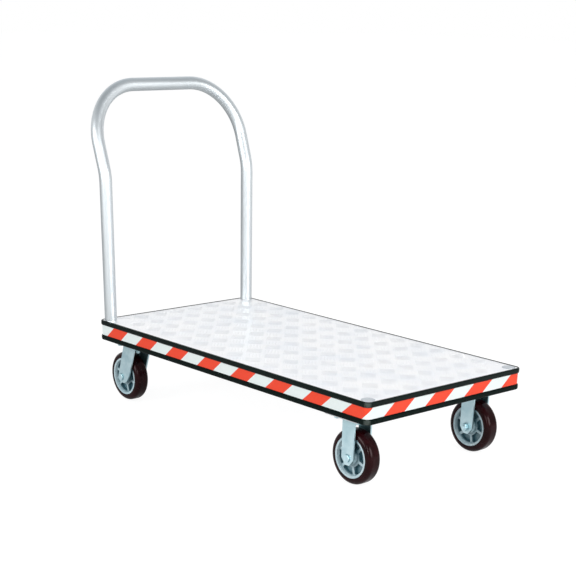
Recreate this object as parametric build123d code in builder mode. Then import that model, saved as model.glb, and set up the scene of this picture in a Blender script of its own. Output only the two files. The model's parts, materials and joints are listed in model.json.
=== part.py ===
"""Aluminium platform truck: treadplate deck, lift-out push handle, two rigid and two swivel casters.

Frame: origin at the centre of the deck's top face, +X towards the end away from the handle,
+Y to the truck's left, +Z up.  Everything is in millimetres.
"""

from build123d import *
from math import atan2, cos, degrees, radians, sin
import os

# ---------------------------------------------------------------- driving dimensions
overall_length = 1219.2          # over the bumper, 48 in
overall_width = 609.6            # over the bumper, 24 in
deck_height = 254.0              # floor to deck top
corner_radius = 20.0             # outer corner of the bumper
bumper_depth = 5.5               # rib face to frame face
bumper_lip = 1.2                 # bumper stands this far above the deck
bumper_rib_height = 15.0
bumper_web = 1.8
bumper_rounding = 3.4
tape_thickness = 0.4
tape_edge_gap = 0.35

plate_thickness = 3.0            # treadplate under its raised bars
caster_mount_height = 190.5      # floor to caster top plate, 7 1/2 in
pad_thickness = 3.5
pad_side = 124.0
rail_thickness = 3.2
rail_flange = 15.0
member_width = 50.0
member_wall = 3.0

tube_radius = 19.05              # 1 1/2 in handle tube
tube_wall = 2.5
socket_clearance = 0.1           # radial
socket_wall = 3.35
socket_block = 50.0
socket_depth = 54.0              # deck top to the stop in the socket
leg_straight = 412.0             # deck top to the start of the rearward bend
rear_bend_radius = 150.0
rear_bend_angle = radians(18.5)
slant_length = 236.0             # end of bend to the top bar's centreline
top_corner_radius = 168.0
plug_rise = 0.8
plug_cap = 4.0

wheel_radius = 76.2              # 6 in wheel
tread_half_width = 23.0
tread_shoulder = 14.0
core_radius = 58.0
rim_half_width = 22.5
rim_inner_radius = 52.0          # at the rim's faces
rim_root_radius = 49.5           # where the rim's inner slope meets the web face
web_face_half_width = 15.0       # hub disc and spokes
web_half_thickness = 4.0         # between the pockets' floors
hub_disc_radius = 27.5
hub_root_radius = 22.0
hub_radius = 19.5
hub_half_length = 27.3
spoke_count = 6
spoke_half_width = 3.8
pocket_corner = 3.5
pocket_ledge = 0.7               # flat left between a pocket and the rim's slope
spoke_phase = 12.0               # degrees from straight down

axle_radius = 6.35               # 1/2 in axle bolt
running_clearance = 0.05
bushing_radius = 9.525
roller_radius = 2.5
roller_count = 10
roller_length = 50.0

fork_gap_half = 28.0             # wheel hub side clearance 0.7 each side
fork_thickness = 4.8
rigid_leg_half_width = 23.0
rigid_leg_chamfer_start = -1.5   # below the axle
rigid_leg_tip_half_width = 8.0
rigid_leg_tip = -20.0            # below the axle
swivel_leg_boss = [              # outline under the slanted part, about the axle
    (-15.0, 8.0), (-20.0, -6.0), (-12.0, -16.0), (13.0, -18.5), (26.0, -12.0), (42.0, 10.0),
]
swivel_leg_top = (17.5, 77.0)    # ends of the outline's top edge, ahead of the axle
caster_plate_x = 114.3
caster_plate_y = 101.6
caster_plate_thickness = 5.0
caster_plate_corner = 8.0
caster_x = 505.0
rigid_caster_y = 236.0
swivel_caster_y = 232.0
swivel_lead = 46.5               # wheel centre behind the kingpin
bolt_spacing = 76.2
bolt_radius = 4.76               # 3/8 in
bolt_hole_radius = 5.3

ball_radius = 3.175              # 1/4 in balls
race_clearance = 0.075
race_gap = 3.6
upper_race_radius = 26.0
lower_race_radius = 16.0
upper_ball_count = 20
lower_ball_count = 12
crown_thickness = 5.0
crown_radius = 34.0
crown_neck_half_length = 23.0    # where the crown meets the legs
crown_hole_radius = 9.0
lower_race_thickness = 4.0
lower_race_outer = 23.0
kingpin_radius = 6.0
kingpin_head_radius = 10.0
kingpin_head_height = 3.2
kingpin_tail = 3.0               # thread beyond its nut

# Hexagon fasteners: across flats, thickness
axle_head_flats, axle_head_height = 19.05, 5.0
axle_nut_height = 11.0
bolt_head_flats, bolt_head_height = 14.3, 6.0
bolt_nut_height = 8.3
kingpin_nut_flats, kingpin_nut_height = 19.0, 10.0
washer_radius, washer_thickness = 10.0, 2.0
hex_bevel = 0.8
thread_tail = 2.5
thread_clearance = 0.02

# ---------------------------------------------------------------- derived places
frame_x = overall_length / 2 - bumper_depth
frame_y = overall_width / 2 - bumper_depth
frame_corner = corner_radius - bumper_depth
plate_top_z = caster_mount_height - deck_height          # caster plate's top face
pad_top_z = plate_top_z + pad_thickness
rail_top_z = -plate_thickness
rail_height = rail_top_z - pad_top_z
plate_bottom_z = plate_top_z - caster_plate_thickness
axle_z = wheel_radius - deck_height
socket_radius = tube_radius + socket_clearance
socket_x = frame_x - socket_radius - socket_wall
socket_y = frame_y - socket_radius - socket_wall
fork_mid = fork_gap_half + fork_thickness / 2
fork_outer = fork_gap_half + fork_thickness

corners = {
    "front_left": (1, 1),
    "front_right": (1, -1),
    "rear_left": (-1, 1),
    "rear_right": (-1, -1),
}

os.makedirs("parts", exist_ok=True)


def save(part, name):
    part.label = name
    export_step(part, f"parts/{name}.step")


def facing_y(x, y, z):
    """Sketch plane seen from -Y: local x is +X, local y is +Z."""
    return Plane(origin=(x, y, z), x_dir=(1, 0, 0), z_dir=(0, -1, 0))


def through_axle(x, y, z):
    """Sketch plane that holds the wheel's axis: local x is +Y, local y is +Z."""
    return Plane(origin=(x, y, z), x_dir=(0, 1, 0), z_dir=(1, 0, 0))


def caster_place(sx, sy):
    """Centre of a caster's top plate."""
    return sx * caster_x, sy * (rigid_caster_y if sx > 0 else swivel_caster_y)


def wheel_place(sx, sy):
    """Swivel wheels trail behind their kingpins; rigid ones sit under their plates."""
    x, y = caster_place(sx, sy)
    return (x, y) if sx > 0 else (x - swivel_lead, y)


# ---------------------------------------------------------------- deck and frame
with BuildPart() as deck_plate:
    with BuildSketch(Plane.XY.offset(-plate_thickness)):
        RectangleRounded(2 * frame_x, 2 * frame_y, frame_corner)
        with GridLocations(2 * socket_x, 2 * socket_y, 2, 2):
            Circle(socket_radius, mode=Mode.SUBTRACT)
    extrude(amount=plate_thickness)
save(deck_plate.part, "deck_plate")


def channel(plane, length):
    """Channel whose web stands on the local origin and whose flanges point to local +x."""
    with BuildPart() as rail:
        with BuildSketch(plane):
            Rectangle(rail_flange, rail_height, align=(Align.MIN, Align.MAX))
            with Locations((rail_thickness, -rail_thickness)):
                Rectangle(
                    rail_flange,
                    rail_height - 2 * rail_thickness,
                    align=(Align.MIN, Align.MAX),
                    mode=Mode.SUBTRACT,
                )
        extrude(amount=length / 2, both=True)
    return rail.part


side_rail_length = 2 * (frame_x - socket_block)
end_rail_length = 2 * (frame_y - socket_block)
for side, sign in (("left", 1), ("right", -1)):
    web = Plane(origin=(0, sign * frame_y, rail_top_z), x_dir=(0, -sign, 0), z_dir=(-sign, 0, 0))
    save(channel(web, side_rail_length), f"side_rail_{side}")
for end, sign in (("front", 1), ("rear", -1)):
    web = Plane(origin=(sign * frame_x, 0, rail_top_z), x_dir=(-sign, 0, 0), z_dir=(0, sign, 0))
    save(channel(web, end_rail_length), f"end_rail_{end}")

member_length = 2 * (frame_y - rail_flange)
for name, x in (("front", caster_x), ("middle", 0), ("rear", -caster_x)):
    with BuildPart() as cross_member:
        with BuildSketch(facing_y(x, 0, rail_top_z - rail_height / 2)):
            Rectangle(member_width, rail_height)
            Rectangle(
                member_width - 2 * member_wall, rail_height - 2 * member_wall, mode=Mode.SUBTRACT
            )
        extrude(amount=member_length / 2, both=True)
    save(cross_member.part, f"cross_member_{name}")


def corner_socket(sx, sy):
    """Corner block that takes a handle leg, rounded on the deck's outer corner."""
    with BuildPart() as socket:
        block_centre_x = sx * (frame_x - socket_block / 2)
        block_centre_y = sy * (frame_y - socket_block / 2)
        with BuildSketch(Plane((block_centre_x, block_centre_y, pad_top_z))) as outline:
            Rectangle(socket_block, socket_block)
            outer = outline.vertices().sort_by(Axis((0, 0, 0), (sx, sy, 0)))[-1]
            fillet(outer, frame_corner)
        extrude(amount=rail_height)
        with BuildSketch(Plane.XY.offset(-socket_depth)):
            with Locations((sx * socket_x, sy * socket_y)):
                Circle(socket_radius)
        extrude(amount=socket_depth, mode=Mode.SUBTRACT)
    return socket.part


for corner, (sx, sy) in corners.items():
    save(corner_socket(sx, sy), f"corner_socket_{corner}")
    with BuildPart() as caster_pad:
        pad_x, pad_y = caster_place(sx, sy)
        with BuildSketch(Plane((pad_x, pad_y, plate_top_z))):
            Rectangle(pad_side, pad_side)
            with GridLocations(bolt_spacing, bolt_spacing, 2, 2):
                Circle(bolt_hole_radius, mode=Mode.SUBTRACT)
        extrude(amount=pad_thickness)
    save(caster_pad.part, f"caster_pad_{corner}")


# ---------------------------------------------------------------- bumper and tape
def edge_ring(outset, depth, bottom, top):
    """Adds a closed ring round the frame to the open part, from outset to outset + depth."""
    with BuildSketch(Plane.XY.offset(bottom)) as ring:
        outer = outset + depth
        RectangleRounded(2 * (frame_x + outer), 2 * (frame_y + outer), frame_corner + outer)
        RectangleRounded(
            2 * (frame_x + outset), 2 * (frame_y + outset), frame_corner + outset,
            mode=Mode.SUBTRACT,
        )
    extrude(ring.sketch, amount=top - bottom)


lower_rib_top = pad_top_z + bumper_rib_height
upper_rib_bottom = bumper_lip - bumper_rib_height
with BuildPart() as bumper_strip:
    edge_ring(0, bumper_web, pad_top_z, bumper_lip)
    edge_ring(0, bumper_depth, upper_rib_bottom, bumper_lip)
    edge_ring(0, bumper_depth, pad_top_z, lower_rib_top)
    rib_faces = bumper_strip.faces().filter_by(GeomType.PLANE).filter_by(
        lambda face: abs(face.center().X) > overall_length / 2 - bumper_rounding
        or abs(face.center().Y) > overall_width / 2 - bumper_rounding
    )
    rib_edges = rib_faces.edges().filter_by(Axis.Z, reverse=True)
    fillet(rib_edges, bumper_rounding)
save(bumper_strip.part, "bumper_strip")

with BuildPart() as reflective_tape:
    edge_ring(
        bumper_web, tape_thickness, lower_rib_top + tape_edge_gap, upper_rib_bottom - tape_edge_gap
    )
save(reflective_tape.part, "reflective_tape")


# ---------------------------------------------------------------- handle and socket plugs
def handle_side(sign):
    """Points up one side of the handle: foot, bend start and end, corner start and end."""
    side_y = sign * socket_y
    bend_x = -socket_x - rear_bend_radius * (1 - cos(rear_bend_angle))
    bend_z = leg_straight + rear_bend_radius * sin(rear_bend_angle)
    slant = slant_length - top_corner_radius
    corner_x = bend_x - slant * sin(rear_bend_angle)
    corner_z = bend_z + slant * cos(rear_bend_angle)
    bar_x = bend_x - slant_length * sin(rear_bend_angle)
    bar_z = bend_z + slant_length * cos(rear_bend_angle)
    return [
        (-socket_x, side_y, -socket_depth),
        (-socket_x, side_y, leg_straight),
        (bend_x, side_y, bend_z),
        (corner_x, side_y, corner_z),
        (bar_x, side_y - sign * top_corner_radius, bar_z),
    ]


with BuildPart() as handle_tube:
    with BuildLine() as handle_path:
        foot, bend_start, bend_end, corner_start, corner_end = handle_side(1)
        far_foot, far_bend_start, far_bend_end, far_corner_start, far_corner_end = handle_side(-1)
        slant_up = Vector(corner_start) - Vector(bend_end)
        Line(foot, bend_start)
        TangentArc(bend_start, bend_end, tangent=(0, 0, 1))
        Line(bend_end, corner_start)
        TangentArc(corner_start, corner_end, tangent=slant_up)
        Line(corner_end, far_corner_end)
        TangentArc(far_corner_end, far_corner_start, tangent=(0, -1, 0))
        Line(far_corner_start, far_bend_end)
        TangentArc(far_bend_end, far_bend_start, tangent=-slant_up)
        Line(far_bend_start, far_foot)
    with BuildSketch(Plane((-socket_x, socket_y, -socket_depth))):
        Circle(tube_radius)
        Circle(tube_radius - tube_wall, mode=Mode.SUBTRACT)
    sweep(path=handle_path.line)
save(handle_tube.part, "handle_tube")

for side, sign in (("left", 1), ("right", -1)):
    with BuildPart() as socket_plug:
        with BuildSketch(Plane((socket_x, sign * socket_y, -socket_depth))):
            Circle(tube_radius)
        extrude(amount=socket_depth + plug_rise)
        fillet(socket_plug.edges().sort_by(Axis.Z)[-1], plug_rise)
        with BuildSketch(Plane((socket_x, sign * socket_y, -socket_depth))):
            Circle(tube_radius - tube_wall)
        extrude(amount=socket_depth - plug_cap, mode=Mode.SUBTRACT)
    save(socket_plug.part, f"socket_plug_{side}")


# ---------------------------------------------------------------- fasteners
def hexagon_radius(flats):
    """Corner radius of a hexagon from its size across flats."""
    return flats / 2 / cos(radians(30))


def hex_prism(plane, flats, height):
    """Adds a hexagonal prism that stands on the plane to the open part."""
    with BuildSketch(plane) as hexagon:
        RegularPolygon(hexagon_radius(flats), 6)
    extrude(hexagon.sketch, amount=height)


def hex_bolt(plane, radius, length, flats, head_height):
    """Bolt whose head's bearing face lies on the plane; the shank runs against its normal."""
    with BuildPart() as bolt:
        hex_prism(plane, flats, head_height)
        head_end = bolt.faces().sort_by(Axis(plane.origin, plane.z_dir))[-1]
        chamfer(head_end.edges(), hex_bevel)
        with BuildSketch(plane):
            Circle(radius)
        extrude(amount=-length)
        tip = bolt.faces().sort_by(Axis(plane.origin, plane.z_dir))[0]
        chamfer(tip.edges(), hex_bevel)
    return bolt.part


def hex_nut(plane, radius, flats, height):
    """Nut that sits on the plane."""
    with BuildPart() as nut:
        hex_prism(plane, flats, height)
        nut_end = nut.faces().sort_by(Axis(plane.origin, plane.z_dir))[-1]
        chamfer(nut_end.edges(), hex_bevel)
        with BuildSketch(plane):
            Circle(radius + thread_clearance)
        extrude(amount=height, mode=Mode.SUBTRACT)
    return nut.part


def mounting_points():
    """Axes of the sixteen bolts that hold the casters."""
    half = bolt_spacing / 2
    for sx, sy in corners.values():
        x, y = caster_place(sx, sy)
        for dx, dy in ((half, half), (half, -half), (-half, half), (-half, -half)):
            yield x + dx, y + dy


bolt_grip = caster_plate_thickness + pad_thickness + washer_thickness
bolt_length = bolt_grip + bolt_nut_height + thread_tail
bolts = []
nuts = []
washers = []
for x, y in mounting_points():
    head_plane = Plane((x, y, plate_bottom_z), x_dir=(1, 0, 0), z_dir=(0, 0, -1))
    bolts.append(
        hex_bolt(head_plane, bolt_radius, bolt_length, bolt_head_flats, bolt_head_height)
    )
    nut_plane = Plane((x, y, pad_top_z + washer_thickness))
    nuts.append(hex_nut(nut_plane, bolt_radius, bolt_head_flats, bolt_nut_height))
    with BuildPart() as washer:
        with BuildSketch(Plane((x, y, pad_top_z))):
            Circle(washer_radius)
            Circle(bolt_hole_radius, mode=Mode.SUBTRACT)
        extrude(amount=washer_thickness)
    washers.append(washer.part)
save(Compound(children=bolts), "caster_bolts")
save(Compound(children=nuts), "caster_nuts")
save(Compound(children=washers), "caster_washers")


# ---------------------------------------------------------------- casters
def top_plate(x, y):
    """Adds a caster's bolted top plate to the open part."""
    with BuildSketch(Plane((x, y, plate_bottom_z))) as outline:
        RectangleRounded(caster_plate_x, caster_plate_y, caster_plate_corner)
        with GridLocations(bolt_spacing, bolt_spacing, 2, 2):
            Circle(bolt_hole_radius, mode=Mode.SUBTRACT)
    extrude(outline.sketch, amount=caster_plate_thickness)


def fork_legs(x, y, outline):
    """Adds both fork legs, given their outline about the axle, with the axle holes."""
    for sign in (1, -1):
        with BuildSketch(facing_y(x, y + sign * fork_mid, axle_z)) as leg:
            with BuildLine():
                Polyline(*outline, close=True)
            make_face()
            Circle(axle_radius + running_clearance, mode=Mode.SUBTRACT)
        extrude(leg.sketch, amount=fork_thickness / 2, both=True)


def rigid_fork(x, y):
    """Top plate with two straight legs that end in chamfered tips."""
    leg_top = plate_bottom_z - axle_z
    outline = [
        (-rigid_leg_half_width, leg_top),
        (-rigid_leg_half_width, rigid_leg_chamfer_start),
        (-rigid_leg_tip_half_width, rigid_leg_tip),
        (rigid_leg_tip_half_width, rigid_leg_tip),
        (rigid_leg_half_width, rigid_leg_chamfer_start),
        (rigid_leg_half_width, leg_top),
    ]
    with BuildPart() as fork:
        top_plate(x, y)
        fork_legs(x, y, outline)
    return fork.part


crown_top_z = plate_bottom_z - race_gap
crown_bottom_z = crown_top_z - crown_thickness
lower_race_top_z = crown_bottom_z - race_gap
lower_race_bottom_z = lower_race_top_z - lower_race_thickness
kingpin_head_slope = atan2(kingpin_head_radius - kingpin_radius, kingpin_head_height)


def ball_groove(x, y, race_radius, gap_top_z):
    """Cuts a ball groove centred in the gap below gap_top_z."""
    with BuildSketch(facing_y(x, y, gap_top_z - race_gap / 2)) as groove:
        with Locations((race_radius, 0)):
            Circle(ball_radius + race_clearance)
    revolve(groove.sketch, axis=Axis((x, y, 0), (0, 0, 1)), mode=Mode.SUBTRACT)


def swivel_plate(x, y):
    """Bolted top plate with the upper race and the kingpin's countersink in it."""
    with BuildPart() as plate:
        top_plate(x, y)
        with Locations(Plane((x, y, plate_top_z))):
            CounterSinkHole(
                kingpin_radius + running_clearance,
                kingpin_head_radius + running_clearance,
                depth=caster_plate_thickness,
                counter_sink_angle=2 * degrees(kingpin_head_slope),
            )
        ball_groove(x, y, upper_race_radius, plate_bottom_z)
    return plate.part


def swivel_fork(x, y):
    """Crown between the two ball races, with legs that reach back to the axle."""
    leg_top = crown_top_z - axle_z
    back, front = swivel_leg_top
    outline = [(back, leg_top), *swivel_leg_boss, (front, leg_top)]
    with BuildPart() as fork:
        with BuildSketch(Plane((x, y, crown_bottom_z))):
            Circle(crown_radius)
            Rectangle(2 * crown_neck_half_length, 2 * fork_gap_half)
            Circle(crown_hole_radius, mode=Mode.SUBTRACT)
        extrude(amount=crown_thickness)
        fork_legs(x - swivel_lead, y, outline)
        ball_groove(x, y, upper_race_radius, plate_bottom_z)
        ball_groove(x, y, lower_race_radius, crown_bottom_z)
    return fork.part


def lower_race(x, y):
    """Cup under the crown that holds the lower balls up."""
    with BuildPart() as race:
        with BuildSketch(Plane((x, y, lower_race_bottom_z))):
            Circle(lower_race_outer)
            Circle(kingpin_radius + running_clearance, mode=Mode.SUBTRACT)
        extrude(amount=lower_race_thickness)
        ball_groove(x, y, lower_race_radius, crown_bottom_z)
    return race.part


def swivel_balls(x, y):
    """Both rows of balls, as separate solids."""
    rows = (
        (upper_race_radius, upper_ball_count, plate_bottom_z),
        (lower_race_radius, lower_ball_count, crown_bottom_z),
    )
    balls = []
    for race_radius, count, gap_top_z in rows:
        for place in PolarLocations(race_radius, count):
            spot = Vector(x, y, gap_top_z - race_gap / 2) + place.position
            with BuildPart() as ball:
                with BuildSketch(facing_y(spot.X, spot.Y, spot.Z)):
                    Circle(ball_radius)
                    Rectangle(
                        ball_radius, 2 * ball_radius, align=(Align.MAX, Align.CENTER),
                        mode=Mode.SUBTRACT,
                    )
                revolve(axis=Axis(spot, (0, 0, 1)))
            balls.append(ball.part)
    return Compound(children=balls)


def kingpin(x, y):
    """Countersunk pin on which the fork turns."""
    tip_z = lower_race_bottom_z - kingpin_nut_height - kingpin_tail
    with BuildPart() as pin:
        with BuildSketch(facing_y(x, y, 0)):
            with BuildLine():
                Polyline(
                    (0, plate_top_z),
                    (kingpin_head_radius, plate_top_z),
                    (kingpin_radius, plate_top_z - kingpin_head_height),
                    (kingpin_radius, tip_z + hex_bevel),
                    (kingpin_radius - hex_bevel, tip_z),
                    (0, tip_z),
                    close=True,
                )
            make_face()
        revolve(axis=Axis((x, y, 0), (0, 0, 1)))
    return pin.part


def wheel_core(x, y):
    """Moulded core: rim, pocketed web, hub disc and hub, bored for the rollers."""
    bore = bushing_radius + 2 * roller_radius + 2 * running_clearance
    with BuildPart() as core:
        with BuildSketch(through_axle(x, y, axle_z)):
            with BuildLine():
                Polyline(
                    (0, bore),
                    (hub_half_length, bore),
                    (hub_half_length, hub_radius),
                    (web_face_half_width, hub_root_radius),
                    (web_face_half_width, rim_root_radius),
                    (rim_half_width, rim_inner_radius),
                    (rim_half_width, core_radius),
                    (0, core_radius),
                    close=True,
                )
            make_face()
            mirror(about=Plane.YZ)
        revolve(axis=Axis((x, y, axle_z), (0, 1, 0)))
        for sign in (1, -1):
            floor = facing_y(x, y + sign * web_half_thickness, axle_z)
            with BuildSketch(floor):
                add(pocket_ring(hub_disc_radius, rim_root_radius - pocket_ledge))
            extrude(amount=-sign * 2 * rim_half_width, mode=Mode.SUBTRACT)
    return core.part


def pocket_ring(inner, outer):
    """Kidney-shaped pockets between the spokes."""
    with BuildSketch() as pockets:
        Circle(outer)
        Circle(inner, mode=Mode.SUBTRACT)
        step = 360 / spoke_count
        for index in range(spoke_count):
            angle = -90 + spoke_phase + index * step
            with Locations(Rotation(0, 0, angle)):
                Rectangle(
                    2 * outer, 2 * spoke_half_width, align=(Align.MIN, Align.CENTER),
                    mode=Mode.SUBTRACT,
                )
        fillet(pockets.vertices(), pocket_corner)
    return pockets.sketch


def wheel_tread(x, y):
    """Polyurethane tyre moulded on the core, with rounded shoulders."""
    shoulder_start = wheel_radius - tread_shoulder
    crown_half = tread_half_width - tread_shoulder
    half_root = tread_shoulder * sin(radians(45))
    with BuildPart() as tread:
        with BuildSketch(through_axle(x, y, axle_z)):
            with BuildLine():
                Line((-tread_half_width, core_radius), (tread_half_width, core_radius))
                Line((tread_half_width, core_radius), (tread_half_width, shoulder_start))
                ThreePointArc(
                    (tread_half_width, shoulder_start),
                    (crown_half + half_root, shoulder_start + half_root),
                    (crown_half, wheel_radius),
                )
                Line((crown_half, wheel_radius), (-crown_half, wheel_radius))
                ThreePointArc(
                    (-crown_half, wheel_radius),
                    (-crown_half - half_root, shoulder_start + half_root),
                    (-tread_half_width, shoulder_start),
                )
                Line((-tread_half_width, shoulder_start), (-tread_half_width, core_radius))
            make_face()
        revolve(axis=Axis((x, y, axle_z), (0, 1, 0)))
    return tread.part


def wheel_rollers(x, y):
    """Rollers between the core's bore and the axle bushing, as separate solids."""
    pitch = bushing_radius + running_clearance + roller_radius
    rollers = []
    for place in PolarLocations(pitch, roller_count):
        with BuildPart() as roller:
            spot_x = x + place.position.X
            spot_z = axle_z + place.position.Y
            with BuildSketch(facing_y(spot_x, y, spot_z)):
                Circle(roller_radius)
            extrude(amount=roller_length / 2, both=True)
        rollers.append(roller.part)
    return Compound(children=rollers)


def axle_bushing(x, y):
    """Hard sleeve clamped between the fork legs, on which the rollers run."""
    with BuildPart() as bushing:
        with BuildSketch(facing_y(x, y, axle_z)):
            Circle(bushing_radius)
            Circle(axle_radius + running_clearance, mode=Mode.SUBTRACT)
        extrude(amount=fork_gap_half, both=True)
    return bushing.part


def axle_bolt(x, y, side):
    """Axle bolt with its head on the truck's outer side."""
    plane = Plane((x, y + side * fork_outer, axle_z), x_dir=(1, 0, 0), z_dir=(0, side, 0))
    length = 2 * fork_outer + axle_nut_height + thread_tail
    return hex_bolt(plane, axle_radius, length, axle_head_flats, axle_head_height)


def axle_nut(x, y, side):
    """Lock nut on the inner end of the axle bolt."""
    plane = Plane((x, y - side * fork_outer, axle_z), x_dir=(1, 0, 0), z_dir=(0, -side, 0))
    return hex_nut(plane, axle_radius, axle_head_flats, axle_nut_height)


for corner, (sx, sy) in corners.items():
    x, y = wheel_place(sx, sy)
    save(wheel_core(x, y), f"wheel_core_{corner}")
    save(wheel_tread(x, y), f"wheel_tread_{corner}")
    save(wheel_rollers(x, y), f"wheel_rollers_{corner}")
    save(axle_bushing(x, y), f"axle_bushing_{corner}")

front_bolts = []
front_nuts = []
for side, sy in (("left", 1), ("right", -1)):
    x, y = caster_place(1, sy)
    save(rigid_fork(x, y), f"rigid_fork_{side}")
    front_bolts.append(axle_bolt(x, y, sy))
    front_nuts.append(axle_nut(x, y, sy))
save(Compound(children=front_bolts), "axle_bolts_front")
save(Compound(children=front_nuts), "axle_nuts_front")

for side, sy in (("left", 1), ("right", -1)):
    x, y = caster_place(-1, sy)
    save(swivel_plate(x, y), f"swivel_plate_{side}")
    save(swivel_fork(x, y), f"swivel_fork_{side}")
    save(lower_race(x, y), f"lower_race_{side}")
    save(swivel_balls(x, y), f"swivel_balls_{side}")
    save(kingpin(x, y), f"kingpin_{side}")
    nut_seat = Plane((x, y, lower_race_bottom_z), x_dir=(1, 0, 0), z_dir=(0, 0, -1))
    kingpin_nut = hex_nut(nut_seat, kingpin_radius, kingpin_nut_flats, kingpin_nut_height)
    save(kingpin_nut, f"kingpin_nut_{side}")
    wheel_x, wheel_y = wheel_place(-1, sy)
    save(axle_bolt(wheel_x, wheel_y, sy), f"axle_bolt_rear_{side}")
    save(axle_nut(wheel_x, wheel_y, sy), f"axle_nut_rear_{side}")
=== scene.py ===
"""Looks of the aluminium platform truck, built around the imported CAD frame. Metres throughout."""

import json
import math

import bpy
from mathutils import Matrix, Vector


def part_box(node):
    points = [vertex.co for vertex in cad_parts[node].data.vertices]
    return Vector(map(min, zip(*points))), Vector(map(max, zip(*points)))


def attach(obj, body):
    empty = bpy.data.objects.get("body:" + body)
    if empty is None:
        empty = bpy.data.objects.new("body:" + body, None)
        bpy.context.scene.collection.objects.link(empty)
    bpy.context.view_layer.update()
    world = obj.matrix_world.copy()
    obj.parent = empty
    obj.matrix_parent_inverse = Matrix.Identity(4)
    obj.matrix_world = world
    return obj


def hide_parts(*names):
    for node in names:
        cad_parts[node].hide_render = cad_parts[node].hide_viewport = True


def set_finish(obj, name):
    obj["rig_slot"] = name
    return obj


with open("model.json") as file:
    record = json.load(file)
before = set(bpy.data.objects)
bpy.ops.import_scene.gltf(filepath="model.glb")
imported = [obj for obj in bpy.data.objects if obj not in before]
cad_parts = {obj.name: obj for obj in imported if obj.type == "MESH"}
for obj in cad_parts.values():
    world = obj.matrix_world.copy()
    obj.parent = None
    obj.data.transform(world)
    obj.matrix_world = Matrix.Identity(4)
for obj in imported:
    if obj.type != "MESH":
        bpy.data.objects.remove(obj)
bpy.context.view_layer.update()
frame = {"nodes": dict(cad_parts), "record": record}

MM = 0.001

# ---------------------------------------------------------------- places read from the frame
deck_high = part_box("deck_plate")[1]
bumper_low, bumper_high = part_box("bumper_strip")
tape_low, tape_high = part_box("reflective_tape")
handle_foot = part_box("handle_tube")[0].z
plug_low, plug_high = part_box("socket_plug_left")
wheel_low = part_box("wheel_tread_front_left")[0]

frame_x = deck_high.x
frame_y = deck_high.y
frame_corner = 14.5 * MM         # corner radius of the frame inside the bumper
bumper_depth = bumper_high.x - frame_x
tube_radius = (plug_high.x - plug_low.x) / 2
socket_x = (plug_low.x + plug_high.x) / 2
socket_y = (plug_low.y + plug_high.y) / 2
floor_z = wheel_low.z


# ---------------------------------------------------------------- mesh helpers
def add_mesh(name, vertices, faces, uvs=None, smooth=True):
    """New mesh object; uvs, when given, holds one (u, v) for each vertex of each face."""
    mesh = bpy.data.meshes.new(name)
    mesh.from_pydata([tuple(v) for v in vertices], [], faces)
    if uvs is not None:
        layer = mesh.uv_layers.new(name="UVMap")
        flat = [uv for face_uvs in uvs for uv in face_uvs]
        for loop, uv in zip(layer.data, flat):
            loop.uv = uv
    mesh.validate()
    mesh.update()
    for polygon in mesh.polygons:
        polygon.use_smooth = smooth
    piece = bpy.data.objects.new(name, mesh)
    bpy.context.scene.collection.objects.link(piece)
    return piece


def grid_faces(rings, around, closed_along, closed_around=True):
    """Quads between consecutive rings of equal size."""
    faces = []
    for ring in range(rings if closed_along else rings - 1):
        following = (ring + 1) % rings
        for step in range(around if closed_around else around - 1):
            ahead = (step + 1) % around
            faces.append((
                ring * around + step,
                following * around + step,
                following * around + ahead,
                ring * around + ahead,
            ))
    return faces


# ---------------------------------------------------------------- deck edge: bumper and tape
CORNER_STEPS = 20
SIDE_STEP = 12 * MM
RIB_HEIGHT = 15 * MM
RIB_ROUNDING = 3.4 * MM
RIB_CROWN = 0.25 * MM            # how far the middle of a rib's face stands out
BUMPER_WEB = 1.8 * MM            # outset of the recess that holds the tape
TAPE_BEVEL = 0.12 * MM


def edge_path():
    """Stations round the frame edge, counter-clockwise from the rear end's left corner.

    Each is (centre x, centre y, direction x, direction y, distance along the ribs' outer face), and
    a point at some outset lies at centre + direction * (corner radius + outset).
    """
    inner_x = frame_x - frame_corner
    inner_y = frame_y - frame_corner
    sides = (
        (-1, 0, (-inner_x, inner_y), (-inner_x, -inner_y)),
        (0, -1, (-inner_x, -inner_y), (inner_x, -inner_y)),
        (1, 0, (inner_x, -inner_y), (inner_x, inner_y)),
        (0, 1, (inner_x, inner_y), (-inner_x, inner_y)),
    )
    stations = []
    travelled = 0.0
    for nx, ny, start, end in sides:
        length = math.hypot(end[0] - start[0], end[1] - start[1])
        count = round(length / SIDE_STEP)
        for index in range(count):
            t = index / count
            centre_x = start[0] + (end[0] - start[0]) * t
            centre_y = start[1] + (end[1] - start[1]) * t
            stations.append((centre_x, centre_y, nx, ny, travelled + length * t))
        travelled += length
        angle = math.atan2(ny, nx)
        arc = (frame_corner + bumper_depth) * math.pi / 2
        for index in range(CORNER_STEPS):
            turn = index / CORNER_STEPS
            bearing = angle + turn * math.pi / 2
            stations.append((
                end[0], end[1], math.cos(bearing), math.sin(bearing), travelled + arc * turn
            ))
        travelled += arc
    return stations, travelled


def edge_sweep(name, profile):
    """Closed ring with the given cross-section, a list of (outset, z); v is z and u runs along."""
    stations, total = edge_path()
    vertices = []
    for centre_x, centre_y, nx, ny, _ in stations:
        for outset, z in profile:
            reach = frame_corner + outset
            vertices.append((centre_x + nx * reach, centre_y + ny * reach, z))
    around = len(profile)
    faces = grid_faces(len(stations), around, True)
    uvs = []
    for ring in range(len(stations)):
        u0 = stations[ring][4]
        u1 = stations[ring + 1][4] if ring + 1 < len(stations) else total
        for step in range(around):
            z0 = profile[step][1]
            z1 = profile[(step + 1) % around][1]
            uvs.append(((u0, z0), (u1, z0), (u1, z1), (u0, z1)))
    return add_mesh(name, vertices, faces, uvs)


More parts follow.
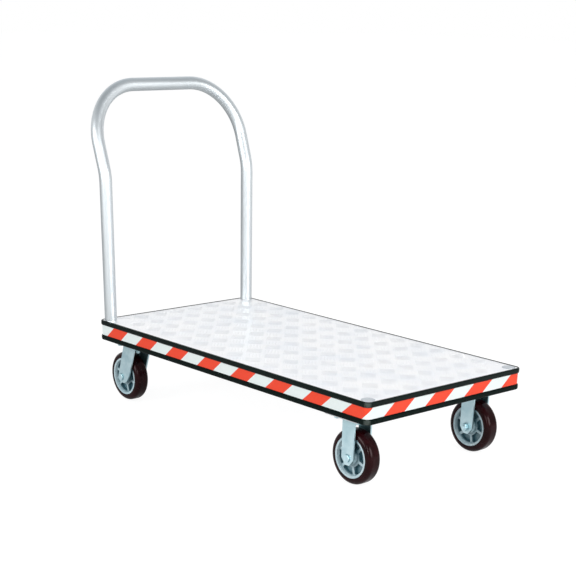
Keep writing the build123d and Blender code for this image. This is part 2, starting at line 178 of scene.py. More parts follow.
def arc_points(centre, radius, start_degrees, end_degrees, count):
    """Points on a circular arc in (outset, z)."""
    points = []
    for index in range(count + 1):
        angle = math.radians(start_degrees + (end_degrees - start_degrees) * index / count)
        points.append((
            centre[0] + radius * math.cos(angle), centre[1] + radius * math.sin(angle)
        ))
    return points


def rib_profile(bottom, top, root):
    """Outer side of one rib from its lower root to its upper root: rounded, faintly crowned."""
    centre = bumper_depth - RIB_CROWN - RIB_ROUNDING
    lower = arc_points((centre, bottom + RIB_ROUNDING), RIB_ROUNDING, -90, -4, 7)
    upper = arc_points((centre, top - RIB_ROUNDING), RIB_ROUNDING, 4, 90, 7)
    middle = [(bumper_depth, (bottom + top) / 2)]
    return [(root, bottom)] + lower + middle + upper + [(root, top)]


def build_bumper():
    low, high = bumper_low.z, bumper_high.z
    profile = [(0.0, low)]
    profile += rib_profile(low, low + RIB_HEIGHT, BUMPER_WEB)[1:]
    profile += rib_profile(high - RIB_HEIGHT, high, BUMPER_WEB)[:-1]
    profile += [(0.0, high)]
    bumper = edge_sweep("edge_bumper", profile)
    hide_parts("bumper_strip")
    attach(bumper, "deck")
    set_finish(bumper, "bumper_black")
    return bumper


def build_tape():
    outer = tape_high.x - frame_x
    low, high = tape_low.z, tape_high.z
    profile = [
        (BUMPER_WEB, low),
        (outer - TAPE_BEVEL, low),
        (outer, low + TAPE_BEVEL),
        (outer, high - TAPE_BEVEL),
        (outer - TAPE_BEVEL, high),
        (BUMPER_WEB, high),
    ]
    tape = edge_sweep("striped_tape", profile)
    tape.data.shade_flat()
    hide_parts("reflective_tape")
    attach(tape, "deck")
    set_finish(tape, "reflective_tape")
    return tape


# ---------------------------------------------------------------- treadplate bars
BAR_LENGTH = 45 * MM
BAR_WIDTH = 5.2 * MM
BAR_HEIGHT = 0.7 * MM
BAR_SPACING = 9.6 * MM
BARS_IN_GROUP = 5
GROUP_PITCH_X = 80.5 * MM
GROUP_PITCH_Y = 72.0 * MM
GROUP_PHASE_X = -482 * MM
GROUP_PHASE_Y = -245 * MM
GROUP_LEAD = 3                   # groups laid out before the phase point, so the deck is covered
GROUP_COLUMNS = 18
GROUP_ROWS = 12
BAR_AROUND = 16                  # points round one outline of a bar
BAR_LEVELS = ((1.0, -0.15), (0.97, 0.25), (0.74, 0.78), (0.38, 1.0))     # share of width, of height
PLAIN_MARGIN = 9 * MM
SOCKET_CLEAR = 25 * MM


def clipped_bar(x, y, dx, dy):
    """Ends of a bar cut back to the patterned area, or None where too little is left."""
    limit_x = frame_x - PLAIN_MARGIN
    limit_y = frame_y - PLAIN_MARGIN
    low, high = -BAR_LENGTH / 2, BAR_LENGTH / 2
    for place, step, limit in ((x, dx, limit_x), (y, dy, limit_y)):
        bounds = sorted(((-limit - place) / step, (limit - place) / step))
        low, high = max(low, bounds[0]), min(high, bounds[1])
    if high - low < 2 * BAR_WIDTH:
        return None
    for t in (low, (low + high) / 2, high):
        gap = math.hypot(abs(x + dx * t) - socket_x, abs(y + dy * t) - socket_y)
        if gap < SOCKET_CLEAR:
            return None
    return low, high


def bar_vertices(x, y, dx, dy, low, high):
    """Lens-shaped bar: outlines that step in and up from just under the plate's face."""
    half = (high - low) / 2
    mid = (high + low) / 2
    vertices = []
    for share, height in BAR_LEVELS:
        for index in range(BAR_AROUND):
            angle = 2 * math.pi * index / BAR_AROUND
            along = math.cos(angle) * (half - (1 - share) * BAR_WIDTH / 2)
            across = math.sin(angle) * share * BAR_WIDTH / 2
            taper = 1 - 0.25 * abs(math.cos(angle)) ** 3
            px = x + dx * (mid + along) - dy * across * taper
            py = y + dy * (mid + along) + dx * across * taper
            vertices.append((px, py, deck_high.z + BAR_HEIGHT * height))
    return vertices


def bar_places():
    """Centre and direction of every bar whose group may reach the deck."""
    diagonal = math.sqrt(0.5)
    for turned in (False, True):
        dx, dy = (diagonal, -diagonal) if turned else (diagonal, diagonal)
        shift = 0.5 if turned else 0.0
        for column in range(GROUP_COLUMNS):
            for row in range(GROUP_ROWS):
                group_x = GROUP_PHASE_X + (column - GROUP_LEAD + shift) * GROUP_PITCH_X
                group_y = GROUP_PHASE_Y + (row - GROUP_LEAD + shift) * GROUP_PITCH_Y
                for index in range(BARS_IN_GROUP):
                    side = (index - (BARS_IN_GROUP - 1) / 2) * BAR_SPACING
                    yield group_x - dy * side, group_y + dx * side, dx, dy


def build_tread_bars():
    vertices, faces = [], []
    levels = len(BAR_LEVELS)
    for x, y, dx, dy in bar_places():
        ends = clipped_bar(x, y, dx, dy)
        if ends is None:
            continue
        base = len(vertices)
        vertices += bar_vertices(x, y, dx, dy, *ends)
        for face in grid_faces(levels, BAR_AROUND, False):
            faces.append(tuple(base + corner for corner in reversed(face)))
        top = base + (levels - 1) * BAR_AROUND
        faces.append(tuple(top + step for step in range(BAR_AROUND)))
        faces.append(tuple(base + step for step in reversed(range(BAR_AROUND))))
    bars = add_mesh("deck_tread_bars", vertices, faces)
    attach(bars, "deck")
    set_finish(bars, "aluminium_plate")
    return bars


# ---------------------------------------------------------------- push handle
LEG_STRAIGHT = 412 * MM
REAR_BEND_RADIUS = 150 * MM
REAR_BEND = math.radians(18.5)
SLANT_LENGTH = 236 * MM
TOP_CORNER_RADIUS = 168 * MM
TUBE_WALL = 2.5 * MM


def handle_half_path():
    """Centreline points from the left foot to the middle of the top bar, with tangents."""
    points = []

    def add(x, y, z, tangent):
        points.append((Vector((x, y, z)), Vector(tangent).normalized()))

    leg_steps = 40
    for index in range(leg_steps):
        height = handle_foot + (LEG_STRAIGHT - handle_foot) * index / leg_steps
        add(-socket_x, socket_y, height, (0, 0, 1))
    bend_steps = 12
    for index in range(bend_steps):
        angle = REAR_BEND * index / bend_steps
        x = -socket_x - REAR_BEND_RADIUS * (1 - math.cos(angle))
        z = LEG_STRAIGHT + REAR_BEND_RADIUS * math.sin(angle)
        add(x, socket_y, z, (-math.sin(angle), 0, math.cos(angle)))
    bend_x = -socket_x - REAR_BEND_RADIUS * (1 - math.cos(REAR_BEND))
    bend_z = LEG_STRAIGHT + REAR_BEND_RADIUS * math.sin(REAR_BEND)
    up = Vector((-math.sin(REAR_BEND), 0, math.cos(REAR_BEND)))
    base = Vector((bend_x, socket_y, bend_z))
    slant = SLANT_LENGTH - TOP_CORNER_RADIUS
    slant_steps = 6
    for index in range(slant_steps):
        spot = base + up * slant * index / slant_steps
        add(*spot, up)
    inward = Vector((0, -1, 0))
    corner_centre = base + up * slant + inward * TOP_CORNER_RADIUS
    corner_steps = 28
    for index in range(corner_steps):
        angle = math.pi / 2 * index / corner_steps
        out = -inward * math.cos(angle) + up * math.sin(angle)
        tangent = up * math.cos(angle) + inward * math.sin(angle)
        add(*(corner_centre + out * TOP_CORNER_RADIUS), tangent)
    bar_start = corner_centre + up * TOP_CORNER_RADIUS
    bar_steps = 10
    for index in range(bar_steps + 1):
        spot = bar_start + inward * bar_start.y * index / bar_steps
        add(*spot, inward)
    return points


def build_handle():
    """Tube with inner and outer walls, swept with a turning-free frame; u round, v along."""
    half = handle_half_path()
    flip = Matrix.Diagonal((1, -1, 1))
    other = [(flip @ point, -(flip @ tangent)) for point, tangent in reversed(half[:-1])]
    path = half + other
    around = 56
    side = Vector((1, 0, 0))
    rings_outer, rings_inner, lengths = [], [], []
    travelled = 0.0
    previous = path[0][0]
    for point, tangent in path:
        travelled += (point - previous).length
        previous = point
        side = (side - tangent * side.dot(tangent)).normalized()
        across = tangent.cross(side)
        outer, inner = [], []
        for step in range(around):
            angle = 2 * math.pi * step / around
            out = side * math.cos(angle) + across * math.sin(angle)
            outer.append(point + out * tube_radius)
            inner.append(point + out * (tube_radius - TUBE_WALL))
        rings_outer.append(outer)
        rings_inner.append(inner)
        lengths.append(travelled)
    rings = rings_outer + rings_inner[::-1]
    along = lengths + lengths[::-1]
    vertices = [vertex for ring in rings for vertex in ring]
    faces = grid_faces(len(rings), around, True)
    uvs = []
    for ring in range(len(rings)):
        v0, v1 = along[ring], along[(ring + 1) % len(rings)]
        for step in range(around):
            u0, u1 = step / around, (step + 1) / around
            uvs.append(((u0, v0), (u0, v1), (u1, v1), (u1, v0)))
    faces = [tuple(reversed(face)) for face in faces]
    uvs = [tuple(reversed(face)) for face in uvs]
    handle = add_mesh("push_handle", vertices, faces, uvs)
    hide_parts("handle_tube")
    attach(handle, "handle")
    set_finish(handle, "handle_aluminium")
    return handle


# ---------------------------------------------------------------- material helpers
class Shader:
    """A node material with short calls for the nodes used here."""

    def __init__(self, name):
        self.material = bpy.data.materials.new(name)
        self.material.use_nodes = True
        self.tree = self.material.node_tree
        self.surface = self.tree.nodes["Principled BSDF"]
        self.coordinates = self.tree.nodes.new("ShaderNodeTexCoord")

    def node(self, kind, values=None, **settings):
        made = self.tree.nodes.new(kind)
        for key, value in settings.items():
            setattr(made, key, value)
        for key, value in (values or {}).items():
            if hasattr(value, "is_output"):
                self.tree.links.new(value, made.inputs[key])
            else:
                made.inputs[key].default_value = value
        return made

    def set(self, **values):
        for key, value in values.items():
            name = key.replace("_", " ")
            if hasattr(value, "is_output"):
                self.tree.links.new(value, self.surface.inputs[name])
            else:
                self.surface.inputs[name].default_value = value

    def scaled(self, scale, source="Object"):
        """Texture coordinates stretched by scale, one factor for each axis."""
        mapping = self.node("ShaderNodeMapping", {"Vector": self.coordinates.outputs[source]})
        mapping.inputs["Scale"].default_value = scale
        return mapping.outputs["Vector"]

    def noise(self, scale, detail=4.0, roughness=0.55, vector=None, distortion=0.0):
        made = self.node("ShaderNodeTexNoise", {
            "Scale": scale, "Detail": detail, "Roughness": roughness, "Distortion": distortion,
            "Vector": vector or self.coordinates.outputs["Object"],
        })
        return made.outputs["Fac"]

    def ramp(self, value, low, high, to_low=0.0, to_high=1.0):
        """value mapped from low..high to to_low..to_high, clamped."""
        made = self.node("ShaderNodeMapRange", {
            "Value": value, "From Min": low, "From Max": high, "To Min": to_low, "To Max": to_high,
        })
        return made.outputs["Result"]

    def math(self, operation, first, second=0.0, third=0.0):
        made = self.node("ShaderNodeMath", {0: first, 1: second, 2: third}, operation=operation)
        return made.outputs["Value"]

    def mix(self, factor, first, second, blend="MIX"):
        made = self.node("ShaderNodeMix", data_type="RGBA", blend_type=blend)
        for index, value in ((0, factor), (6, first), (7, second)):
            if hasattr(value, "is_output"):
                self.tree.links.new(value, made.inputs[index])
            else:
                made.inputs[index].default_value = value
        return made.outputs[2]

    def bump(self, height, strength, distance, normal=None):
        made = self.node("ShaderNodeBump", {
            "Height": height, "Strength": strength, "Distance": distance,
        })
        if normal is not None:
            self.tree.links.new(normal, made.inputs["Normal"])
        return made.outputs["Normal"]

    def painted_shade_in_hollows(self, reach, dark, bright):
        """Painted-shade mask from ambient occlusion: 0 far inside a hollow, 1 on open faces."""
        cavity = self.node("ShaderNodeAmbientOcclusion", {"Distance": reach}, samples=8)
        return self.ramp(cavity.outputs["AO"], dark, bright)

    def rounded(self, radius):
        """Shading normal that rounds sharp edges by radius."""
        return self.node("ShaderNodeBevel", {"Radius": radius}, samples=6).outputs["Normal"]


def colour(red, green, blue):
    return (red, green, blue, 1.0)


# ---------------------------------------------------------------- materials
def treadplate_material():
    """Bright rolled aluminium with faint roll streaks, cloudy patches and handling scuffs."""
    s = Shader("treadplate_aluminium")
    clouds = s.noise(7.0, 5.0, 0.6)
    streaks = s.noise(60.0, 6.0, 0.7, s.scaled((0.08, 1.0, 1.0)))
    tone = s.mix(s.ramp(clouds, 0.38, 0.66), colour(0.985, 0.985, 0.99), colour(0.92, 0.94, 0.97))
    tone = s.mix(s.ramp(streaks, 0.45, 0.8, 0.0, 0.35), tone, colour(0.97, 0.97, 0.98))
    grain = s.noise(900.0, 3.0, 0.6, s.scaled((0.15, 1.0, 1.0)))
    rough = s.math("ADD", s.ramp(clouds, 0.3, 0.7, 0.28, 0.38), s.ramp(streaks, 0.4, 0.8, 0.0, 0.1))
    normal = s.bump(grain, 0.12, 0.2 * MM)
    normal = s.bump(streaks, 0.05, 0.6 * MM, normal)
    s.set(Base_Color=tone, Metallic=0.8, Roughness=rough, Normal=normal)
    return s.material


def extrusion_material():
    """Mill-finish extrusion: duller, with fine die lines along the length."""
    s = Shader("mill_aluminium")
    lines = s.noise(320.0, 4.0, 0.65, s.scaled((0.05, 1.0, 1.0)))
    clouds = s.noise(9.0, 4.0)
    tone = s.mix(s.ramp(clouds, 0.3, 0.7), colour(0.70, 0.71, 0.73), colour(0.79, 0.80, 0.82))
    rough = s.ramp(lines, 0.3, 0.7, 0.32, 0.48)
    s.set(
        Base_Color=tone, Metallic=1.0, Roughness=rough,
        Normal=s.bump(lines, 0.15, 0.2 * MM, s.rounded(0.5 * MM)),
    )
    return s.material


def handle_material():
    """Satin drawn tube: fine lines along the tube and soft cloudy wear."""
    s = Shader("satin_tube_aluminium")
    along = s.scaled((30.0, 1.6, 1.0), "UV")
    lines = s.noise(14.0, 6.0, 0.7, along)
    clouds = s.noise(12.0, 4.0, 0.55)
    tone = s.mix(s.ramp(lines, 0.3, 0.75), colour(0.67, 0.72, 0.745), colour(0.78, 0.82, 0.84))
    tone = s.mix(s.ramp(clouds, 0.5, 0.75, 0.0, 0.35), tone, colour(0.60, 0.675, 0.72))
    rough = s.math("ADD", s.ramp(lines, 0.3, 0.7, 0.38, 0.48), s.ramp(clouds, 0.4, 0.7, 0.0, 0.08))
    s.set(
        Base_Color=tone, Metallic=1.0, Roughness=rough, Normal=s.bump(lines, 0.10, 0.15 * MM),
        Anisotropic=0.35,
    )
    return s.material


def plug_material():
    """Turned cap with fine concentric lines."""
    s = Shader("turned_cap")
    local = s.node("ShaderNodeVectorMath", operation="ABSOLUTE")
    s.tree.links.new(s.coordinates.outputs["Object"], local.inputs[0])
    offset = s.node("ShaderNodeVectorMath", operation="SUBTRACT")
    s.tree.links.new(local.outputs[0], offset.inputs[0])
    offset.inputs[1].default_value = (socket_x, socket_y, 0.0)
    flat = s.node("ShaderNodeVectorMath", operation="MULTIPLY")
    s.tree.links.new(offset.outputs[0], flat.inputs[0])
    flat.inputs[1].default_value = (1.0, 1.0, 0.0)
    radius = s.node("ShaderNodeVectorMath", operation="LENGTH")
    s.tree.links.new(flat.outputs[0], radius.inputs[0])
    rings = s.math("SINE", s.math("MULTIPLY", radius.outputs["Value"], 9000.0))
    clouds = s.noise(80.0, 3.0)
    tone = s.mix(s.ramp(clouds, 0.3, 0.7), colour(0.47, 0.51, 0.55), colour(0.58, 0.62, 0.66))
    s.set(
        Base_Color=tone, Metallic=1.0, Roughness=0.34,
        Normal=s.bump(rings, 0.15, 0.05 * MM, s.rounded(0.4 * MM)),
    )
    return s.material


def bumper_material():
    """Smooth black extruded rubber with die lines, a little dust, and a painted highlight at the
    corners: paler colour and a higher specular level.
    """
    s = Shader("black_bumper")
    lines = s.noise(700.0, 3.0, 0.6, s.scaled((0.02, 1.0, 1.0), "UV"))
    dust = s.noise(55.0, 6.0, 0.7)
    tone = s.mix(
        s.ramp(dust, 0.52, 0.78, 0.0, 0.4), colour(0.002, 0.006, 0.005), colour(0.010, 0.016, 0.014)
    )
    normal = s.node("ShaderNodeSeparateXYZ", {"Vector": s.coordinates.outputs["Normal"]}).outputs
    bend = s.math("ABSOLUTE", s.math("MULTIPLY", normal["X"], normal["Y"]))
    corner_highlight_mask = s.ramp(bend, 0.20, 0.48)
    # Painted highlight: at the corners the base colour is lifted towards a dark grey-green.
    tone = s.mix(s.math("MULTIPLY", corner_highlight_mask, 0.8), tone, colour(0.050, 0.060, 0.054))
    height = s.node("ShaderNodeSeparateXYZ", {"Vector": s.coordinates.outputs["UV"]}).outputs["Y"]
    # Specular level rises from the lower rib to the upper one; at the corners it is raised further
    # as part of the painted highlight.
    specular_and_corner_highlight = s.ramp(height, tape_low.z, tape_high.z, 0.06, 0.12)
    specular_and_corner_highlight = s.math("ADD", specular_and_corner_highlight, s.math("MULTIPLY", corner_highlight_mask, 0.4))
    s.set(
        Base_Color=tone, Roughness=s.ramp(dust, 0.35, 0.75, 0.24, 0.42),
        Normal=s.bump(lines, 0.06, 0.2 * MM), Specular_IOR_Level=specular_and_corner_highlight,
        Specular_Tint=colour(0.80, 1.0, 0.94),
    )
    return s.material


STRIPE_PERIOD = 154.2 * MM
STRIPE_RED_SHARE = 0.49
STRIPE_SLANT = 1.21
STRIPE_START_X = -549.8 * MM     # left edge of the first red bar on the right side, at mid height


def tape_material():
    """Red and white reflective film: slanted bars over a fine honeycomb of reflecting cells."""
    s = Shader("reflective_film")
    uv = s.node("ShaderNodeSeparateXYZ", {"Vector": s.coordinates.outputs["UV"]})
    rear_end = 2 * (frame_y - frame_corner) + (frame_corner + bumper_depth) * math.pi / 2
    start = rear_end + STRIPE_START_X + (frame_x - frame_corner)
    mid_z = (tape_low.z + tape_high.z) / 2
    height = s.math("SUBTRACT", uv.outputs["Y"], mid_z)
    slanted = s.math("SUBTRACT", uv.outputs["X"], s.math("MULTIPLY", height, STRIPE_SLANT))
    turns = s.math("DIVIDE", s.math("SUBTRACT", slanted, start), STRIPE_PERIOD)
    share = s.math("FRACT", turns)
    blur = 0.3 * MM / STRIPE_PERIOD
    red = s.math("MULTIPLY",
                 s.ramp(share, 0.0, blur),
                 s.ramp(share, STRIPE_RED_SHARE, STRIPE_RED_SHARE + blur, 1.0, 0.0))
    cells = s.node("ShaderNodeTexVoronoi", {
        "Scale": 320.0, "Randomness": 0.12, "Vector": s.coordinates.outputs["UV"],
    }, feature="DISTANCE_TO_EDGE")
    wall = s.ramp(cells.outputs["Distance"], 0.02, 0.09, 1.0, 0.0)
    clouds = s.noise(90.0, 3.0)
    white = s.mix(
        s.math("MULTIPLY", wall, 0.55), colour(0.80, 0.87, 0.86), colour(0.93, 0.96, 0.96)
    )
    white = s.mix(s.ramp(clouds, 0.4, 0.7, 0.0, 0.25), white, colour(0.72, 0.82, 0.80))
    warm = s.mix(
        s.math("MULTIPLY", wall, 0.5), colour(0.86, 0.062, 0.026), colour(0.91, 0.115, 0.052)
    )
    tone = s.mix(red, white, warm)
    s.set(
        Base_Color=tone, Roughness=0.34, Specular_IOR_Level=0.25,
        Normal=s.bump(wall, 0.12, 0.1 * MM),
    )
    return s.material


def zinc_material(name, bright):
    """Blue-passivated zinc plating, slightly cloudy, with rounded edges and painted shade in
    corners and on inner faces.
    """
    s = Shader(name)
    clouds = s.noise(28.0, 5.0, 0.6, distortion=0.4)
    grain = s.noise(700.0, 3.0, 0.6)
    dark = colour(0.50 * bright, 0.72 * bright, 0.79 * bright)
    light = colour(0.71 * bright, 0.90 * bright, 0.95 * bright)
    tone = s.mix(s.ramp(clouds, 0.32, 0.68), dark, light)
    # Painted shade: where ambient occlusion finds nearby surfaces, such as inner faces of the fork
    # legs, the colour goes to a dark teal.
    tone = s.mix(s.painted_shade_in_hollows(70 * MM, 0.30, 0.80), colour(0.11, 0.22, 0.24), tone)
    s.set(
        Base_Color=tone, Metallic=0.85, Roughness=s.ramp(clouds, 0.3, 0.7, 0.30, 0.45),
        Normal=s.bump(grain, 0.08, 0.1 * MM, s.rounded(0.8 * MM)),
    )
    return s.material


def steel_material():
    """Polished bearing steel with a trace of grease."""
    s = Shader("bearing_steel")
    film = s.noise(160.0, 3.0)
    tone = s.mix(s.ramp(film, 0.45, 0.7), colour(0.62, 0.62, 0.64), colour(0.48, 0.46, 0.42))
    s.set(Base_Color=tone, Metallic=1.0, Roughness=s.ramp(film, 0.4, 0.7, 0.12, 0.3))
    return s.material


def core_material():
    """Moulded blue-grey polyolefin: pale on its open rim and spokes, with painted shade making the
    pockets dark.
    """
    s = Shader("moulded_core")
    clouds = s.noise(22.0, 4.0)
    pebble = s.noise(1500.0, 2.0)
    pocket_shade = s.mix(s.ramp(clouds, 0.3, 0.7), colour(0.03, 0.10, 0.13), colour(0.05, 0.14, 0.18))
    open_face = s.mix(s.ramp(clouds, 0.3, 0.7), colour(0.44, 0.61, 0.67), colour(0.60, 0.73, 0.77))
    # Painted shade: pockets and recesses, found by ambient occlusion, take the dark colour.
    tone = s.mix(s.painted_shade_in_hollows(24 * MM, 0.45, 0.95), pocket_shade, open_face)
    s.set(
        Base_Color=tone, Roughness=0.40, Specular_IOR_Level=0.45,
        Normal=s.bump(pebble, 0.08, 0.1 * MM, s.rounded(1.0 * MM)),
    )
    return s.material


def polyurethane_material():
    """Glossy dark maroon cast polyurethane, slightly smeared by use."""
    s = Shader("maroon_polyurethane")
    smears = s.noise(34.0, 5.0, 0.6)
    fine = s.noise(420.0, 3.0)
    tone = s.mix(
        s.ramp(smears, 0.35, 0.7), colour(0.008, 0.0006, 0.0010), colour(0.020, 0.0016, 0.0026)
    )
    s.set(
        Base_Color=tone, Roughness=s.ramp(smears, 0.3, 0.7, 0.14, 0.26),
        Specular_IOR_Level=0.17, Specular_Tint=colour(1.0, 0.80, 0.82),
        Normal=s.bump(fine, 0.03, 0.1 * MM),
    )
    return s.material


def paint(node, material):
    slots = node.data.materials
    slots.clear()
    slots.append(material)


# ---------------------------------------------------------------- build and paint
bumper = build_bumper()
tape = build_tape()
bars = build_tread_bars()
handle = build_handle()

plate_metal = treadplate_material()
slot_materials = {
    "aluminium_plate": plate_metal,
    "aluminium_frame": extrusion_material(),
    "handle_aluminium": handle_material(),
    "plug_grey": plug_material(),
    "bumper_black": bumper_material(),
    "reflective_tape": tape_material(),
    "zinc_plate": zinc_material("zinc_pressing", 1.0),
    "zinc_fastener": zinc_material("zinc_fastener", 1.08),
    "bearing_steel": steel_material(),
    "wheel_core_grey": core_material(),
    "polyurethane": polyurethane_material(),
}
for row in frame["record"]["subparts"]:
    paint(frame["nodes"][row["node"]], slot_materials[row["material_slot"]])
for piece in (bumper, tape, bars, handle):
    paint(piece, slot_materials[piece["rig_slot"]])


# ---------------------------------------------------------------- studio
# Each floor look: glow at the shaded side, glow at the lit side, paleness
FLOOR_SEEN = (0.90, 0.90, 0.20)
FLOOR_BOUNCED = (0.04, 0.04, 0.40)       # towards diffuse surfaces
FLOOR_REFLECTED = (0.10, 0.75, 0.35)     # in shiny surfaces
BACKDROP_SIDE = (-0.746, 0.666, 0.0)
LIT_SIDE = (0.95, 0.31, 0.0)
GLOW_REACH = 2.0                 # metres from the middle to where the floor's glow levels off


def floor_material():
    """Pale paper floor; its glow keeps the shadows the camera sees faint.

    Camera, glossy and diffuse rays each meet their own brightness of floor.
    """
    material = bpy.data.materials.new("studio_floor")
    material.use_nodes = True
    tree = material.node_tree
    tree.nodes.clear()
    path = tree.nodes.new("ShaderNodeLightPath")
    soft = tree.nodes.new("ShaderNodeTexNoise")
    soft.inputs["Scale"].default_value = 2.0
    tone = tree.nodes.new("ShaderNodeMapRange")
    tree.links.new(soft.outputs["Fac"], tone.inputs["Value"])
    tone.inputs["To Min"].default_value = 0.97
    tone.inputs["To Max"].default_value = 1.0

    place = tree.nodes.new("ShaderNodeNewGeometry")
    facing = tree.nodes.new("ShaderNodeVectorMath")
    facing.operation = "DOT_PRODUCT"
    facing.inputs[1].default_value = LIT_SIDE
    tree.links.new(place.outputs["Position"], facing.inputs[0])

    def branch(shaded_glow, lit_glow, pale):
        glow = tree.nodes.new("ShaderNodeMapRange")
        tree.links.new(facing.outputs["Value"], glow.inputs["Value"])
        glow.inputs["From Min"].default_value = -GLOW_REACH
        glow.inputs["From Max"].default_value = GLOW_REACH
        glow.inputs["To Min"].default_value = shaded_glow
        glow.inputs["To Max"].default_value = lit_glow
        emission = tree.nodes.new("ShaderNodeEmission")
        tree.links.new(glow.outputs["Result"], emission.inputs["Strength"])
        shade = tree.nodes.new("ShaderNodeMath")
        shade.operation = "MULTIPLY"
        shade.inputs[1].default_value = pale
        tree.links.new(tone.outputs["Result"], shade.inputs[0])
        diffuse = tree.nodes.new("ShaderNodeBsdfDiffuse")
        tree.links.new(shade.outputs[0], diffuse.inputs["Color"])
        both = tree.nodes.new("ShaderNodeAddShader")
        tree.links.new(diffuse.outputs[0], both.inputs[0])
        tree.links.new(emission.outputs[0], both.inputs[1])
        return both.outputs[0]

    surface = branch(*FLOOR_BOUNCED)
    for ray, look in (("Is Glossy Ray", FLOOR_REFLECTED), ("Is Camera Ray", FLOOR_SEEN)):
        mix = tree.nodes.new("ShaderNodeMixShader")
        tree.links.new(path.outputs[ray], mix.inputs[0])
        tree.links.new(surface, mix.inputs[1])
        tree.links.new(branch(*look), mix.inputs[2])
        surface = mix.outputs[0]
    output = tree.nodes.new("ShaderNodeOutputMaterial")
    tree.links.new(surface, output.inputs["Surface"])
    return material


def build_floor():
    half = 40.0
    corners = [(-half, -half), (half, -half), (half, half), (-half, half)]
    floor = add_mesh("studio_floor", [(x, y, floor_z) for x, y in corners], [(0, 1, 2, 3)])
    paint(floor, floor_material())


SKY_STOPS = (                  # sine of the elevation, brightness of the studio at that height
    (0.00, colour(1.00, 1.00, 1.00)),
    (0.45, colour(1.02, 1.02, 1.03)),
    (0.75, colour(0.84, 0.87, 0.90)),
    (1.00, colour(0.70, 0.74, 0.78)),
)
CAMERA_SIDE_BRIGHTNESS = 0.48


def build_world():
    """White to the camera; for light and reflections, a bright backdrop and a dimmer near side."""
    world = bpy.data.worlds.new("studio_world")
    bpy.context.scene.world = world
    world.use_nodes = True
    tree = world.node_tree
    tree.nodes.clear()
    output = tree.nodes.new("ShaderNodeOutputWorld")
    coordinates = tree.nodes.new("ShaderNodeTexCoord")
    split = tree.nodes.new("ShaderNodeSeparateXYZ")
    ramp = tree.nodes.new("ShaderNodeValToRGB")
    facing = tree.nodes.new("ShaderNodeVectorMath")
    strength = tree.nodes.new("ShaderNodeMapRange")
    seen = tree.nodes.new("ShaderNodeBackground")
    lit = tree.nodes.new("ShaderNodeBackground")
    path = tree.nodes.new("ShaderNodeLightPath")
    mix = tree.nodes.new("ShaderNodeMixShader")
    tree.links.new(coordinates.outputs["Generated"], split.inputs[0])
    tree.links.new(split.outputs["Z"], ramp.inputs[0])
    stops = ramp.color_ramp.elements
    while len(stops) < len(SKY_STOPS):
        stops.new(0.5)
    for stop, (place, tone) in zip(stops, SKY_STOPS):
        stop.position = place
        stop.color = tone
    facing.operation = "DOT_PRODUCT"
    facing.inputs[1].default_value = BACKDROP_SIDE
    tree.links.new(coordinates.outputs["Generated"], facing.inputs[0])
    tree.links.new(facing.outputs["Value"], strength.inputs["Value"])
    strength.inputs["From Min"].default_value = 0.10
    strength.inputs["From Max"].default_value = 0.85
    strength.inputs["To Min"].default_value = CAMERA_SIDE_BRIGHTNESS
    strength.inputs["To Max"].default_value = 1.0
    tree.links.new(ramp.outputs[0], lit.inputs[0])
    tree.links.new(strength.outputs["Result"], lit.inputs[1])
    seen.inputs[0].default_value = colour(1.0, 1.0, 1.0)
    seen.inputs[1].default_value = 1.0
    tree.links.new(path.outputs["Is Camera Ray"], mix.inputs[0])
    tree.links.new(lit.outputs[0], mix.inputs[1])
    tree.links.new(seen.outputs[0], mix.inputs[2])
    tree.links.new(mix.outputs[0], output.inputs[0])


def area_light(name, place, target, size, power):
    light = bpy.data.lights.new(name, "AREA")
    light.shape = "RECTANGLE"
    light.size, light.size_y = size
    light.energy = power
    lamp = bpy.data.objects.new(name, light)
    lamp.location = place
    lamp.rotation_euler = (Vector(target) - Vector(place)).to_track_quat("-Z", "Y").to_euler()
    bpy.context.scene.collection.objects.link(lamp)


def build_lights():
    area_light("softbox_right", (3.9, 0.2, 1.3), (0.0, 0.0, -0.1), (2.4, 2.0), 95)
    area_light("softbox_left", (-0.4, -4.0, 1.4), (0.0, 0.0, -0.1), (2.0, 2.0), 75)
    area_light("strip_front", (2.7, -3.6, 1.4), (0.2, 0.0, -0.1), (0.35, 1.6), 35)


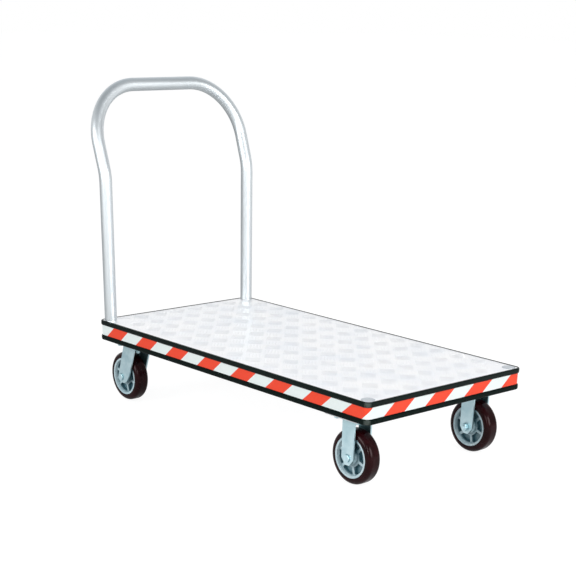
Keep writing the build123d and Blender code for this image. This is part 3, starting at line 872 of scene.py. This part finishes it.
CAMERA_PLACE = (2.9440, -2.6393, 0.9263)
CAMERA_AZIMUTH = math.radians(48.3216)
CAMERA_ELEVATION = math.radians(25.2435)
CAMERA_ROLL = math.radians(1.1802)
CAMERA_LENS = 82.9248
CAMERA_SHIFT_Y = 0.5861
SHIFT_REACH = 20 * MM            # how far the camera may stand off its place and keep the shift


def shift_at_place(data, camera):
    """Shifts the lens at the main viewpoint only; a camera that stands elsewhere has no shift."""
    viewpoint = bpy.data.objects.new("viewpoint", None)
    viewpoint.location = CAMERA_PLACE
    bpy.context.scene.collection.objects.link(viewpoint)
    curve = data.driver_add("shift_y")
    for modifier in list(curve.modifiers):
        curve.modifiers.remove(modifier)
    curve.driver.type = "SUM"
    away = curve.driver.variables.new()
    away.type = "LOC_DIFF"
    away.targets[0].id = viewpoint
    away.targets[1].id = camera
    falloff = ((0.0, CAMERA_SHIFT_Y), (SHIFT_REACH, CAMERA_SHIFT_Y), (2 * SHIFT_REACH, 0.0))
    for distance, shift in falloff:
        curve.keyframe_points.insert(distance, shift).interpolation = "LINEAR"
    curve.extrapolation = "CONSTANT"


def build_camera():
    """Lens axis tilted down and shifted up, so the handle's legs stay nearly upright."""
    az, el = CAMERA_AZIMUTH, CAMERA_ELEVATION
    back = Vector((math.sin(az) * math.cos(el), -math.cos(az) * math.cos(el), math.sin(el)))
    right = Vector((math.cos(az), math.sin(az), 0))
    up = (-back).cross(right) * -1
    rolled_right = right * math.cos(CAMERA_ROLL) + up * math.sin(CAMERA_ROLL)
    rolled_up = up * math.cos(CAMERA_ROLL) - right * math.sin(CAMERA_ROLL)
    data = bpy.data.cameras.new("camera")
    data.lens = CAMERA_LENS
    data.sensor_width = 36.0
    camera = bpy.data.objects.new("camera", data)
    shift_at_place(data, camera)
    turn = Matrix((rolled_right, rolled_up, back)).transposed().to_4x4()
    camera.matrix_world = Matrix.Translation(CAMERA_PLACE) @ turn
    bpy.context.scene.collection.objects.link(camera)
    bpy.context.scene.camera = camera


build_floor()
build_world()
build_lights()
build_camera()
bpy.context.scene.view_settings.view_transform = "Standard"
